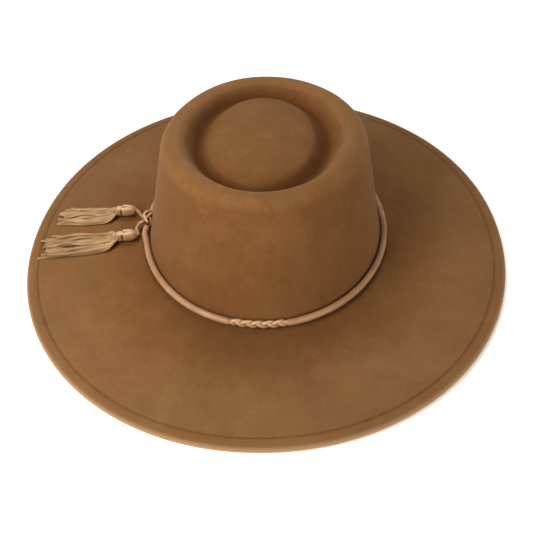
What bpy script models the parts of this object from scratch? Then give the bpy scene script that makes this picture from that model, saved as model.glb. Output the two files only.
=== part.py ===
"""Flat-brimmed felt hat with a telescope crown, a leather cord band and two fringe tassels.

Metres, +Z up. The origin is the centre of the brim's outline on the plane that the hat rests on.
-Y is the front, where the band is plaited, and the tassels lie on the -X side of the brim.
"""

import math

import bmesh
import bpy
from mathutils import Vector

# Felt body
HEAD_WIDTH = 0.167  # inside the crown's mouth, side to side
HEAD_LENGTH = 0.199  # inside the crown's mouth, front to back
FELT = 0.0022  # thickness of one layer of felt
BRIM_WIDTH = 0.0893  # crown wall to brim edge, the same all round
BRIM_RISE = 0.007  # underside of the brim at the crown, above the resting plane
BRIM_SQUARENESS = 2.05  # exponent of the brim's oval; 2 is a true ellipse
BREAK_RADIUS = 0.0045  # hollow corner between brim and crown
CROWN_HEIGHT = 0.0826  # from the brim's top at the crown to the middle of the crest
CREST_TILT = 0.0025  # how much higher the crest is at the front than at the back
TOP_WIDTH = 0.139  # crown's outline at the shoulder, side to side
TOP_LENGTH = 0.161  # crown's outline at the shoulder, front to back
TOP_SET_BACK = 0.0032  # centre of the crown's top, behind the centre of its base
TOP_LEAN = 0.0015  # and to its +X side, as the crown was blocked by hand
SHOULDER_RADIUS = 0.0115  # outer corner of the crest

# Telescope: a sunk ring channel round a low dome
CREST_AT_SIDES = 0.0148  # width of the crest between its two corners
CREST_AT_FRONT = 0.0116
CREST_AT_BACK = 0.0130
RECESS_EDGE_RADIUS = 0.008
CHANNEL_DEPTH = 0.014  # below the crest
CHANNEL_WALL_RUN = 0.008  # how far in the channel's bottom lies from the crest's inner corner
CHANNEL_RADIUS = 0.004
DOME_EDGE_RUN = 0.0076  # how far in the dome's edge lies from the channel's bottom
DOME_EDGE_DROP = 0.0056  # dome's edge below the crest
DOME_CENTRE_DROP = 0.0004  # dome's centre below the crest
DOME_EDGE_RADIUS = 0.010
DOME_NARROWING = 0.0030  # how much more the dome is set in at its sides
DOME_LEAN = -0.0022  # from the recess's middle to the dome's middle, towards +X
DOME_SET_BACK = 0.0012  # and towards the back

# Hem: the brim's edge turned under and stitched
HEM_WIDTH = 0.008
STITCH_GROOVE_DEPTH = 0.0005
STITCH_GROOVE_WIDTH = 0.0016

# Leather trim
CLEARANCE = 0.0003  # between any two pieces that touch on the real hat
CORD_DIAMETER = 0.0042
PLAIT_LENGTH = 0.036
PLAIT_SHIFT = -0.002  # middle of the plait, to the side of the front
PLAIT_STRAND = 0.0024  # diameter of each of its three strands
PLAIT_PITCH = 0.0198  # length over which one strand crosses and comes back
PLAIT_SWING = 0.0014  # how far a strand's middle swings to each side
PLAIT_LIFT = 0.0008  # how far it rises where it crosses over another
PLAIT_CORE = 0.0021  # thickness of what fills the middle, under the crossings
KNOT_LENGTH = 0.0145
KNOT_DIAMETER = 0.0078
KNOT_TURNS = 3
KNOT_WAIST = 0.80  # its radius between two turns, as a share of its full radius
KNOT_SHIFT = 0.004  # knot's middle, behind the middle of the -X side
CORD_SLACK = 0.0015  # how far the cord stands out from its corner, in front of the knot
CORD_SLACK_PLACE = 0.016  # where it does so most, in front of the middle of the -X side
CORD_SLACK_RUN = 0.010  # from there to where it lies almost home again
LACE_DIAMETER = 0.0026
LACE_SPACING = 0.0075  # between the two laces where they leave the knot
TASSEL_HEAD_LENGTH = 0.012
TASSEL_HEAD_DIAMETER = 0.0078
FRINGE_STRIP_WIDTH = 0.0034
FRINGE_STRIP_THICKNESS = 0.0015

# How finely the round shapes are cut
SECTORS = 60
CORD_SIDES = 8
STRAND_SIDES = 6
PLAIT_SAMPLES = 22
HEAD_SIDES = 12
KNOT_STEPS = 5  # rings for each turn of the knot
ARC_STEPS = 3
HEM_STEPS = 4
LACE_STEPS = 4
BAND_STEPS = 40  # steps in which a length along the band is measured
BAND_END_ROOM = 0.25  # share of a sector that stays clear of points next to a cord's end
ARC_SHARE = 0.96  # of a side's length that the arcs at its two ends may take
SHARP_EDGE = 40.0  # degrees

# One row for each section of the brim's top: how far out it lies, as a share of the brim's
# width up to the hem, and how much of the brim's rise is left there.
BRIM_SECTIONS = (
    {"out": 0.35, "rise": 0.52},
    {"out": 0.70, "rise": 0.16},
)

# One row for each ring of the dome: share of the dome's radius.
DOME_RINGS = (0.35, 0.62, 0.84)
CHANNEL_SHARE = 0.5  # the channel's shape, on the way from the recess's shape to the dome's

# One row for each section of a tassel's fringe: share of its length, share of its full
# spread, share of a strip's width as the strips are drawn together there, and share of the
# head's radius that its underside is lifted off the brim.
FRINGE_SECTIONS = (
    {"along": 0.00, "spread": 0.10, "width": 0.45, "lift": 0.80},
    {"along": 0.08, "spread": 0.36, "width": 0.80, "lift": 0.45},
    {"along": 0.20, "spread": 0.72, "width": 0.95, "lift": 0.10},
    {"along": 0.38, "spread": 0.94, "width": 1.00, "lift": 0.00},
    {"along": 0.60, "spread": 1.00, "width": 1.00, "lift": 0.00},
    {"along": 0.82, "spread": 0.98, "width": 1.00, "lift": 0.00},
    {"along": 1.00, "spread": 0.90, "width": 1.00, "lift": 0.00},
)

# One row for each section of a tassel's head, a knot drawn down to a neck: share of its
# length and share of its full radius.
HEAD_SECTIONS = (
    {"along": 0.00, "radius": 0.62},
    {"along": 0.10, "radius": 0.90},
    {"along": 0.25, "radius": 1.00},
    {"along": 0.42, "radius": 0.88},
    {"along": 0.55, "radius": 0.60},
    {"along": 0.80, "radius": 0.58},
    {"along": 1.00, "radius": 0.72},
)

# One row for each tassel. The place of its head, out and back from the knot's middle, is in
# shares of the knot's length. The way it points is in degrees from the -X axis towards -Y.
# Its fringe's length and spread are in shares of the brim's width.
TASSELS = (
    {"name": "upper", "out": 0.72, "back": 0.90, "turn": 3.0, "length": 0.605, "spread": 0.213},
    {"name": "lower", "out": 0.36, "back": -1.14, "turn": 6.0, "length": 0.74, "spread": 0.258},
)

# One row for each strip of a fringe: the share of its length that it is cut short by, and how
# much higher than the brim it lies on its neighbours, as a share of its thickness.
STRIPS = (
    {"cut": 0.13, "lap": 0.00},
    {"cut": 0.03, "lap": 0.42},
    {"cut": 0.07, "lap": 0.15},
    {"cut": 0.00, "lap": 0.60},
    {"cut": 0.04, "lap": 0.08},
    {"cut": 0.01, "lap": 0.51},
    {"cut": 0.09, "lap": 0.23},
    {"cut": 0.06, "lap": 0.34},
)
FRINGE_ROOT = 0.72  # where the fringe starts, as a share of the head's length
STRIP_WAVE = 0.35  # how far a strip waves sideways, as a share of its width
STRIP_WAVES = 1.5  # how many times it does so along its length
STRIP_PHASE = 1.7  # radians between the waves of one strip and the next
STRIP_TOP = 0.8  # width of a strip's upper face, as a share of its lower one

COLOURS = {
    "felt": (0.235, 0.127, 0.058, 1.0),
    "leather": (0.46, 0.27, 0.135, 1.0),
    "suede": (0.40, 0.25, 0.125, 1.0),
}
ROUGHNESS = {"felt": 0.95, "leather": 0.6, "suede": 0.85}


def oval_radius(half_width, half_length, angle, squareness=2.0):
    """Distance from an oval's centre to its outline, in the direction of the angle."""
    across = abs(math.cos(angle) / half_width) ** squareness
    along = abs(math.sin(angle) / half_length) ** squareness
    return (across + along) ** (-1 / squareness)


def on_oval(half_width, half_length, angle, z, centre=(0.0, 0.0), squareness=2.0):
    """A point on an oval, in the direction of the angle from its own centre."""
    r = oval_radius(half_width, half_length, angle, squareness)
    return Vector((centre[0] + r * math.cos(angle), centre[1] + r * math.sin(angle), z))


def wall_base(angle):
    """Where the crown's outer wall would meet the brim's top with no rounding."""
    return on_oval(HEAD_WIDTH / 2 + FELT, HEAD_LENGTH / 2 + FELT, angle, BRIM_RISE + FELT)


def brim_outline(angle, inset, z):
    """A point of the brim's outline, moved in by the inset."""
    reach = FELT + BRIM_WIDTH
    edge = on_oval(HEAD_WIDTH / 2 + reach, HEAD_LENGTH / 2 + reach, angle, z, squareness=BRIM_SQUARENESS)
    flat = Vector((edge.x, edge.y, 0.0))
    return edge - flat.normalized() * inset


def brim_top_sections(angle):
    """Points along the brim's top, from the crown's wall to the stitch line of the hem."""
    inner = wall_base(angle)
    outer = brim_outline(angle, HEM_WIDTH + STITCH_GROOVE_WIDTH / 2, 2 * FELT)
    between = []
    for row in BRIM_SECTIONS:
        point = inner.lerp(outer, row["out"])
        point.z = outer.z + (inner.z - outer.z) * row["rise"]
        between.append(point)
    return [inner, *between, outer]


def brim_top_height(x, y):
    """Height of the brim's top at a place outside the crown."""
    sections = brim_top_sections(math.atan2(y, x))
    r = math.hypot(x, y)
    for near, far in zip(sections, sections[1:]):
        r_near, r_far = math.hypot(near.x, near.y), math.hypot(far.x, far.y)
        if r <= r_far:
            return near.z + (far.z - near.z) * (r - r_near) / (r_far - r_near)
    return sections[-1].z


def crest_height(y):
    """Height of the crest's plane, which leans down towards the back."""
    return BRIM_RISE + FELT + CROWN_HEIGHT - CREST_TILT * (y - TOP_SET_BACK) / TOP_LENGTH


def recess_centre():
    """Centre of the telescope, seen from above."""
    return TOP_LEAN, TOP_SET_BACK + (CREST_AT_FRONT - CREST_AT_BACK) / 2


def telescope_point(inset, drop, angle, share=0.0):
    """A point of the telescope, in from the crest's inner corner and below the crest.

    The share says how far its oval has gone over from the recess's shape to the dome's.
    """
    half_width = TOP_WIDTH / 2 - CREST_AT_SIDES - inset - DOME_NARROWING * share
    half_length = TOP_LENGTH / 2 - (CREST_AT_FRONT + CREST_AT_BACK) / 2 - inset
    x, y = recess_centre()
    centre = (x + DOME_LEAN * share, y + DOME_SET_BACK * share)
    point = on_oval(half_width, half_length, angle, 0.0, centre)
    point.z = crest_height(point.y) - drop
    return point


def rounded_path(corners, radii):
    """The path through the corners with arcs of those radii, limited where a side is short.

    Returns the points of each corner's arc and the centre of each arc.
    """
    wanted = [0.0]
    for before, corner, after, radius in zip(corners, corners[1:], corners[2:], radii):
        half_angle = (before - corner).angle(after - corner) / 2
        wanted.append(radius / math.tan(half_angle))
    wanted.append(0.0)
    fits = []
    for i, (a, b) in enumerate(zip(corners, corners[1:])):
        room = (b - a).length * ARC_SHARE
        fits.append(min(1.0, room / max(wanted[i] + wanted[i + 1], 1e-9)))
    arcs, centres = [], []
    for i in range(1, len(corners) - 1):
        corner = corners[i]
        to_before = (corners[i - 1] - corner).normalized()
        to_after = (corners[i + 1] - corner).normalized()
        tangent = wanted[i] * min(fits[i - 1], fits[i])
        half_angle = to_before.angle(to_after) / 2
        radius = tangent * math.tan(half_angle)
        centre = corner + (to_before + to_after).normalized() * (radius / math.sin(half_angle))
        start = (corner + to_before * tangent - centre).normalized()
        end = (corner + to_after * tangent - centre).normalized()
        arcs.append([centre + start.slerp(end, k / ARC_STEPS) * radius for k in range(ARC_STEPS + 1)])
        centres.append(centre)
    return arcs, centres


def crown_corners(angle):
    """Corners of the outer surface from the dome's edge to the brim, and their radii."""
    shoulder = on_oval(TOP_WIDTH / 2, TOP_LENGTH / 2, angle, 0.0, (TOP_LEAN, TOP_SET_BACK))
    shoulder.z = crest_height(shoulder.y)
    corners = [
        dome_point(angle, DOME_RINGS[-1]),
        dome_point(angle, 1.0),
        telescope_point(CHANNEL_WALL_RUN, CHANNEL_DEPTH, angle, CHANNEL_SHARE),
        telescope_point(0.0, 0.0, angle),
        shoulder,
        wall_base(angle),
        brim_top_sections(angle)[1],
    ]
    radii = [DOME_EDGE_RADIUS, CHANNEL_RADIUS, RECESS_EDGE_RADIUS, SHOULDER_RADIUS, BREAK_RADIUS]
    return corners, radii


def dome_top():
    """The dome's highest point."""
    x, y = recess_centre()
    y += DOME_SET_BACK
    return Vector((x + DOME_LEAN, y, crest_height(y) - DOME_CENTRE_DROP))


def dome_point(angle, share):
    """A point of the dome, at a share of the way from its centre to its edge."""
    edge = telescope_point(CHANNEL_WALL_RUN + DOME_EDGE_RUN, DOME_EDGE_DROP, angle, 1.0)
    centre = dome_top()
    point = centre.lerp(edge, share)
    point.z = centre.z + (edge.z - centre.z) * share**2
    return point


def break_centre(angle):
    """Centre of the rounded corner between brim and crown."""
    corners, radii = crown_corners(angle)
    return rounded_path(corners, radii)[1][-1]


def outer_profile(angle):
    """The single layer of felt from the dome to the stitch line, as points of its top."""
    points = [dome_point(angle, share) for share in DOME_RINGS]
    arcs, _ = rounded_path(*crown_corners(angle))
    for arc in arcs:
        points.extend(arc)
    points.extend(brim_top_sections(angle)[1:])
    return points


def hem_profile(angle):
    """The turned-under hem, from the stitch groove round the brim's edge to its inner corner."""
    points = [
        brim_outline(angle, HEM_WIDTH, 2 * FELT - STITCH_GROOVE_DEPTH),
        brim_outline(angle, HEM_WIDTH - STITCH_GROOVE_WIDTH / 2, 2 * FELT),
    ]
    for k in range(HEM_STEPS + 1):
        turn = math.pi * k / HEM_STEPS
        points.append(brim_outline(angle, FELT * (1 - math.sin(turn)), FELT * (1 + math.cos(turn))))
    points.append(brim_outline(angle, HEM_WIDTH, 0.0))
    return points


def surface_normals(rings):
    """Outward normals of a grid of points: rings[j][i], from the crown's centre outwards."""
    count = len(rings[0])
    normals = []
    for j in range(len(rings)):
        row = []
        for i in range(count):
            here = rings[j][i]
            along = Vector((0.0, 0.0, 0.0))
            if j > 0:
                along += (here - rings[j - 1][i]).normalized()
            if j < len(rings) - 1:
                along += (rings[j + 1][i] - here).normalized()
            around = rings[j][(i + 1) % count] - rings[j][i - 1]
            row.append(along.cross(around).normalized())
        normals.append(row)
    return normals


def grid_mesh(name, rings, start=None, end=None):
    """A closed mesh from rings of points, closed at each end by a point or by a flat cap."""
    bm = bmesh.new()
    made = [[bm.verts.new(point) for point in ring] for ring in rings]
    count = len(rings[0])
    for near, far in zip(made, made[1:]):
        for i in range(count):
            k = (i + 1) % count
            bm.faces.new((near[i], far[i], far[k], near[k]))
    for ring, point, order in ((made[0], start, 1), (made[-1], end, -1)):
        if point is None:
            bm.faces.new(ring[::order])
            continue
        tip = bm.verts.new(point)
        for i in range(count):
            corner = (tip, ring[i], ring[(i + 1) % count])
            bm.faces.new(corner[::order])
    bmesh.ops.recalc_face_normals(bm, faces=bm.faces)
    mesh = bpy.data.meshes.new(name)
    bm.to_mesh(mesh)
    bm.free()
    return mesh


def material(name):
    """A plain material of that name, made once."""
    made = bpy.data.materials.get(name) or bpy.data.materials.new(name)
    made.use_nodes = True
    shader = made.node_tree.nodes["Principled BSDF"]
    shader.inputs["Base Color"].default_value = COLOURS[name]
    shader.inputs["Roughness"].default_value = ROUGHNESS[name]
    shader.inputs["Metallic"].default_value = 0.0
    return made


def add_object(name, mesh, finish):
    """Links a mesh to the scene as a named piece with its material."""
    mesh.materials.append(material(finish))
    mesh.shade_smooth()
    mesh.set_sharp_from_angle(angle=math.radians(SHARP_EDGE))
    piece = bpy.data.objects.new(name, mesh)
    bpy.context.scene.collection.objects.link(piece)
    return piece


def fused(piece, others):
    """Joins helper objects to a piece, which stay in the file as hidden guides."""
    for other in others:
        other.hide_render = True
        other.display_type = "WIRE"
        union = piece.modifiers.new(other.name, "BOOLEAN")
        union.operation = "UNION"
        union.object = other
    return piece


def make_felt_body():
    """Crown and brim in one layer of felt, with the brim's edge turned under."""
    angles = [math.tau * i / SECTORS for i in range(SECTORS)]
    outer = list(map(list, zip(*[outer_profile(a) for a in angles])))
    hem = list(map(list, zip(*[hem_profile(a) for a in angles])))
    normals = surface_normals(outer)
    under = []
    for ring, ring_normals in zip(outer, normals):
        under.append([p - n * FELT for p, n in zip(ring, ring_normals)])
    hem_corner = [brim_outline(a, HEM_WIDTH, FELT) for a in angles]
    under[-1] = [p.lerp(q, 0.5) for p, q in zip(under[-1], hem_corner)]
    under_centre = dome_top() - Vector((0.0, 0.0, FELT))
    rings = [*outer, *hem, hem_corner, *under[::-1][1:]]
    mesh = grid_mesh("felt_body", rings, start=dome_top(), end=under_centre)
    return add_object("felt_body", mesh, "felt")


def smooth_path(points, steps):
    """Points along a Catmull-Rom curve through the given points."""
    path = []
    padded = [points[0] * 2 - points[1], *points, points[-1] * 2 - points[-2]]
    for a, b, c, d in zip(padded, padded[1:], padded[2:], padded[3:]):
        for k in range(steps):
            t = k / steps
            curve = 2 * b + (c - a) * t
            curve += (2 * a - 5 * b + 4 * c - d) * t**2
            curve += (3 * b - a - 3 * c + d) * t**3
            path.append(curve / 2)
    path.append(points[-1])
    return path


def tube_rings(path, radii, sides):
    """Rings of a tube along a path, upright so that its cross-section doesn't twist."""
    up = Vector((0.0, 0.0, 1.0))
    rings = []
    for i, point in enumerate(path):
        ahead = path[min(i + 1, len(path) - 1)]
        behind = path[max(i - 1, 0)]
        tangent = (ahead - behind).normalized()
        side = tangent.cross(up).normalized()
        top = side.cross(tangent)
        ring = []
        for k in range(sides):
            turn = math.tau * (k + 0.5) / sides
            ring.append(point + (side * math.cos(turn) + top * math.sin(turn)) * radii[i])
        rings.append(ring)
    return rings


def band_point(angle, radius):
    """Centre of a round cord of that radius where it lies in the corner round the crown."""
    centre = break_centre(angle)
    outward = Vector((math.cos(angle), math.sin(angle), 0.0))
    spare = BREAK_RADIUS - radius - CLEARANCE
    seat = spare * math.cos(math.pi / 4) if spare > 0 else spare
    away = (angle - math.pi) * HEAD_WIDTH / 2 - CORD_SLACK_PLACE
    slack = CORD_SLACK * math.exp(-((away / CORD_SLACK_RUN) ** 2))
    return centre - outward * (seat - slack) - Vector((0.0, 0.0, seat))


def angle_after(angle, distance):
    """The angle at which the band has run that far round the crown."""
    step = distance / BAND_STEPS
    turn = step / (HEAD_LENGTH / 2)
    for _ in range(BAND_STEPS):
        here = band_point(angle, CORD_DIAMETER / 2)
        ahead = band_point(angle + turn, CORD_DIAMETER / 2)
        angle += turn * abs(step) / (ahead - here).length
    return angle


def band_arc(start, end):
    """Points of the band from one angle to another, a point at each sector of the felt."""
    step = math.tau / SECTORS
    first = math.ceil(start / step + BAND_END_ROOM)
    last = math.floor(end / step - BAND_END_ROOM)
    angles = [start, *[k * step for k in range(first, last + 1)], end]
    return [band_point(a, CORD_DIAMETER / 2) for a in angles]


def make_cord(name, start, end):
    """A stretch of the round leather cord."""
    path = band_arc(start, end)
    rings = tube_rings(path, [CORD_DIAMETER / 2] * len(path), CORD_SIDES)
    return add_object(name, grid_mesh(name, rings), "leather")


def plait_place(start, end, share):
    """Middle of the plait at a share of its length, the way across its flat side and the way out of it."""
    angle = start + (end - start) * share
    outward = Vector((math.cos(angle), math.sin(angle), 0.0))
    upward = Vector((0.0, 0.0, 1.0))
    centre = band_point(angle, PLAIT_STRAND / 2 + PLAIT_LIFT)
    return centre, (upward - outward).normalized(), (upward + outward).normalized()


def make_plait(start, end):
    """Three strands plaited flat, lying in the corner between crown and brim, round a flat core."""
    shares = [k / (PLAIT_SAMPLES - 1) for k in range(PLAIT_SAMPLES)]
    places = [plait_place(start, end, share) for share in shares]
    core = []
    for near, far in zip(shares, shares[1:]):
        centre, across, away = plait_place(start, end, (near + far) / 2)
        turns = [math.tau * (k + 0.5) / STRAND_SIDES for k in range(STRAND_SIDES)]
        wide, thick = across * PLAIT_SWING, away * PLAIT_CORE / 2
        core.append([centre + wide * math.cos(turn) + thick * math.sin(turn) for turn in turns])
    plait = add_object("band_plait", grid_mesh("band_plait", core), "leather")
    strands = []
    for s in range(3):
        path = []
        for share, (centre, across, away) in zip(shares, places):
            turn = math.tau * (share * PLAIT_LENGTH / PLAIT_PITCH + s / 3)
            path.append(
                centre + across * PLAIT_SWING * math.sin(turn) + away * PLAIT_LIFT * math.sin(2 * turn)
            )
        rings = tube_rings(path, [PLAIT_STRAND / 2] * PLAIT_SAMPLES, STRAND_SIDES)
        name = f"plait_strand_{s + 1}"
        strands.append(add_object(name, grid_mesh(name, rings), "leather"))
    return fused(plait, strands)


def knot_frame():
    """Middle of the knot, the way the cord runs through it, and the angles where it starts and ends."""
    middle = angle_after(math.pi, -KNOT_SHIFT)
    start = angle_after(middle, -KNOT_LENGTH / 2)
    end = angle_after(middle, KNOT_LENGTH / 2)
    along = (band_point(end, KNOT_DIAMETER / 2) - band_point(start, KNOT_DIAMETER / 2)).normalized()
    return band_point(middle, KNOT_DIAMETER / 2), along, start, end


def make_knot():
    """A barrel knot: turns of lace wound round the cord, drawn tight."""
    middle, along, _, _ = knot_frame()
    steps = KNOT_STEPS * KNOT_TURNS
    path, radii = [], []
    half = KNOT_LENGTH / 2 - CLEARANCE
    for k in range(steps + 1):
        share = k / steps
        path.append(middle + along * half * (2 * share - 1))
        bulge = abs(math.sin(math.pi * KNOT_TURNS * share))
        radii.append(KNOT_DIAMETER / 2 * (KNOT_WAIST + (1 - KNOT_WAIST) * bulge))
    rings = tube_rings(path, radii, HEAD_SIDES)
    return add_object("band_knot", grid_mesh("band_knot", rings), "leather")


def tassel_axis(row):
    """Start of a tassel's head and the way that it points, level."""
    middle, _, _, _ = knot_frame()
    turn = math.radians(row["turn"])
    pointing = Vector((-math.cos(turn), -math.sin(turn), 0.0))
    out, back = KNOT_LENGTH * row["out"], KNOT_LENGTH * row["back"]
    start = Vector((middle.x - out, middle.y + back, 0.0))
    return start, pointing


def head_centre(place):
    """The point over a place on the brim where a tassel's head has its axis."""
    z = brim_top_height(place.x, place.y) + CLEARANCE + TASSEL_HEAD_DIAMETER / 2
    return Vector((place.x, place.y, z))


def make_tassel(row):
    """A knotted head with its fringe of flat strips, all one piece."""
    start, pointing = tassel_axis(row)
    name = f"tassel_{row['name']}"
    path, radii = [], []
    for section in HEAD_SECTIONS:
        path.append(head_centre(start + pointing * TASSEL_HEAD_LENGTH * section["along"]))
        radii.append(TASSEL_HEAD_DIAMETER / 2 * section["radius"])
    head = add_object(name, grid_mesh(name, tube_rings(path, radii, HEAD_SIDES)), "suede")
    strips = [make_strip(row, k, start, pointing) for k in range(len(STRIPS))]
    return fused(head, strips)


def make_strip(row, index, start, pointing):
    """One flat strip of a fringe, from inside the head down to the brim and out to its tip."""
    aside = Vector((-pointing.y, pointing.x, 0.0))
    depth = TASSEL_HEAD_LENGTH * FRINGE_ROOT - FRINGE_STRIP_WIDTH * STRIPS[index]["lap"]
    root = start + pointing * depth
    length = BRIM_WIDTH * row["length"] * (1 - STRIPS[index]["cut"])
    spread = BRIM_WIDTH * row["spread"]
    place = index / (len(STRIPS) - 1) - 1 / 2
    layer = FRINGE_STRIP_THICKNESS * STRIPS[index]["lap"]
    rings = []
    for section in FRINGE_SECTIONS:
        along = section["along"]
        phase = math.tau * STRIP_WAVES * along + STRIP_PHASE * index
        wave = FRINGE_STRIP_WIDTH * STRIP_WAVE * along * math.sin(phase)
        middle = root + pointing * length * along
        middle += aside * (place * spread * section["spread"] + wave)
        base = brim_top_height(middle.x, middle.y) + CLEARANCE + layer
        base += section["lift"] * (TASSEL_HEAD_DIAMETER / 2 - FRINGE_STRIP_THICKNESS / 2)
        half = aside * FRINGE_STRIP_WIDTH * section["width"] / 2
        low = Vector((middle.x, middle.y, base))
        high = low + Vector((0.0, 0.0, FRINGE_STRIP_THICKNESS))
        rings.append([low - half, low + half, high + half * STRIP_TOP, high - half * STRIP_TOP])
    name = f"strip_{row['name']}_{index + 1}"
    return add_object(name, grid_mesh(name, rings), "suede")


def make_lace(row):
    """The short lace from the knot to a tassel's head, square to both where it meets them."""
    middle, along, _, _ = knot_frame()
    start, pointing = tassel_axis(row)
    radius = LACE_DIAMETER / 2
    side = math.copysign(1.0, row["back"])
    outward = Vector((middle.x, middle.y, 0.0)).normalized()
    leave = middle - along * side * LACE_SPACING / 2 + outward * (KNOT_DIAMETER / 2 + CLEARANCE)
    arrive = head_centre(start) - pointing * CLEARANCE
    points = [leave, leave + outward * radius, arrive - pointing * radius, arrive]
    path = [points[0], *smooth_path(points[1:3], LACE_STEPS), points[3]]
    name = f"lace_{row['name']}"
    rings = tube_rings(path, [radius] * len(path), CORD_SIDES)
    rings[0] = [p - outward * (p - leave).dot(outward) for p in rings[0]]
    rings[-1] = [p - pointing * (p - arrive).dot(pointing) for p in rings[-1]]
    return add_object(name, grid_mesh(name, rings), "leather")


def clear_scene():
    for leftover in list(bpy.data.objects):
        bpy.data.objects.remove(leftover)


def build():
    clear_scene()
    make_felt_body()
    front = 3 * math.pi / 2
    plait_middle = angle_after(front, PLAIT_SHIFT)
    plait_start = angle_after(plait_middle, -PLAIT_LENGTH / 2)
    plait_end = angle_after(plait_middle, PLAIT_LENGTH / 2)
    _, _, knot_start, knot_end = knot_frame()
    gap = CLEARANCE
    plait_gap = CLEARANCE + PLAIT_STRAND / 2 * PLAIT_SWING * math.tau / PLAIT_PITCH
    make_plait(plait_start, plait_end)
    make_cord("band_cord_front", angle_after(knot_end, gap), angle_after(plait_start, -plait_gap))
    make_cord("band_cord_back", angle_after(plait_end, plait_gap), angle_after(knot_start + math.tau, -gap))
    make_knot()
    for row in TASSELS:
        make_tassel(row)
        make_lace(row)


build()
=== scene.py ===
"""Looks of a flat-brimmed felt hat with a telescope crown, a leather cord band and two tassels.

Metres, +Z up, in the row frame: -Y is the plaited front, and the tassels lie at -X.
"""

import math
import random

import bmesh
import bpy
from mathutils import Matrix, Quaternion, Vector, noise


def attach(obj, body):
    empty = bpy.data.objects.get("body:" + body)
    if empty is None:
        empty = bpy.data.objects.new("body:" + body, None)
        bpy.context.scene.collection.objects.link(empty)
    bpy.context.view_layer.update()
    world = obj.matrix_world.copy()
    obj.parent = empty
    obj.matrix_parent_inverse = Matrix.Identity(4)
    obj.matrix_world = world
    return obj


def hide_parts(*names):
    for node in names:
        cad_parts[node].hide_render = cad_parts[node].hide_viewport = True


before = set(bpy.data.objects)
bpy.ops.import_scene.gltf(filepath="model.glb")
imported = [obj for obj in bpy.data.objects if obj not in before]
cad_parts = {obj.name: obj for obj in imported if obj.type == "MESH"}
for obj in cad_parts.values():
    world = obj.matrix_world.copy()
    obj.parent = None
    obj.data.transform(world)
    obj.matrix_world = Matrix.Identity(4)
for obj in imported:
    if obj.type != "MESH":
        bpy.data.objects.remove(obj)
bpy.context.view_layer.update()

# Felt body
HEAD_WIDTH = 0.167
HEAD_LENGTH = 0.199
FELT = 0.0022
BRIM_WIDTH = 0.0893
BRIM_RISE = 0.007
BRIM_SQUARENESS = 2.05
BRIM_SWEEP = 1.58  # exponent of the brim's fall from the crown to the hem
BREAK_RADIUS = 0.0045
CROWN_HEIGHT = 0.0826
CREST_TILT = 0.0025
TOP_WIDTH = 0.139
TOP_LENGTH = 0.161
TOP_SET_BACK = 0.0032
TOP_LEAN = 0.0015
SHOULDER_RADIUS = 0.0115
CREST_AT_SIDES = 0.0148
CREST_AT_FRONT = 0.0116
CREST_AT_BACK = 0.0130
RECESS_EDGE_RADIUS = 0.008
CHANNEL_DEPTH = 0.014
CHANNEL_WALL_RUN = 0.008
CHANNEL_RADIUS = 0.004
DOME_EDGE_RUN = 0.0076
DOME_EDGE_DROP = 0.0056
DOME_CENTRE_DROP = 0.0004
DOME_NARROWING = 0.0030
DOME_EDGE_RADIUS = 0.010
DOME_LEAN = -0.0022
DOME_SET_BACK = 0.0012
DOME_SHARE = 0.84  # of the dome's radius, up to where its edge's arc may begin
ARC_SHARE = 0.96  # of a side's length that the arcs at its two ends may take
CHANNEL_SHARE = 0.5  # the channel's shape, on the way from the recess's shape to the dome's
BREAK_REACH = 0.12  # how far out on the brim the arc at the crown's foot may end
HEM_WIDTH = 0.008
HEM_RAW = 0.0092  # brim edge to the cut edge of the turned felt, underneath
HEM_RAW_EDGE = 0.0002  # width of the small bevel on the cut edge
HEM_RAW_RISE = 0.0003  # and its height
HEM_RAW_SHARE = 0.9  # of the felt's thickness that shows at the cut edge
GROOVE_DEPTH = 0.0004
GROOVE_HALF = 0.0013
HEM_PUFF = 0.0002

# One row for each size of unevenness in the hand-blocked felt: waves in a metre, where the
# pattern starts, and how far the felt strays.
WOBBLE = (
    {"scale": 17, "start": (3.1, 7.7, 1.3), "depth": 0.00055},
    {"scale": 48, "start": (9.2, 2.4, 5.5), "depth": 0.00016},
)
WOBBLE_FROM_BREAK = (0.004, 0.022)  # it fades in over these distances from the crown's foot
WOBBLE_TO_HEM = (0.016, 0.002)  # and fades out over these distances from the hem

# Stitches of the hem
STITCH_PITCH = 0.0036
STITCH_HALF = 0.42  # half a stitch's length, as a share of the pitch
STITCH_RADIUS = 0.00027
STITCH_TAPER = 0.55
STITCH_RISE = 0.00022
STITCH_DIVE = 0.00018
STITCH_SET = 0.75  # how deep it lies, as a share of the groove's depth
STITCH_SWAY = 0.08
STITCH_RINGS = 5
STITCH_SIDES = 6
STITCH_SEED = 3
STITCH_AHEAD = 0.002  # turn to the place ahead that a stitch points at
OUTLINE_STEPS = 2000

# Leather and suede trim
CLEARANCE = 0.0003
CORD_RADIUS = 0.0023
CORD_RAISE_PLACE = 4.31  # the angle round the crown at which the cord lies highest on the wall
CORD_SLACK = 0.0015  # how far the cord stands out from its corner, in front of the knot
CORD_SLACK_PLACE = 0.011  # where it does so most, in front of the middle of the -X side
CORD_SLACK_RUN = 0.007  # from there to where it lies almost home again
CORD_STEP = 0.0011
CORD_SWAY = 0.00012
CORD_SWAY_PACE = 9  # how fast the sway changes with the angle
CORD_UNEVEN = 0.03  # share by which its thickness changes
CORD_UNEVEN_PACE = 0.13  # and how fast, from ring to ring
CORD_SIDES = 18
END_RINGS = 3  # rings over which the end of a cord is rounded off
BAND_STEPS = 40  # steps in which a length along the band is measured
PLAIT_LENGTH = 0.036
PLAIT_SHIFT = -0.002
PLAIT_STRAND = 0.0024
PLAIT_PITCH = 0.0207
PLAIT_SWING = 0.0014
PLAIT_LIFT = 0.0008
PLAIT_FULLNESS = 1.03  # a strand's thickness where it shows, over its cut thickness
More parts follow.
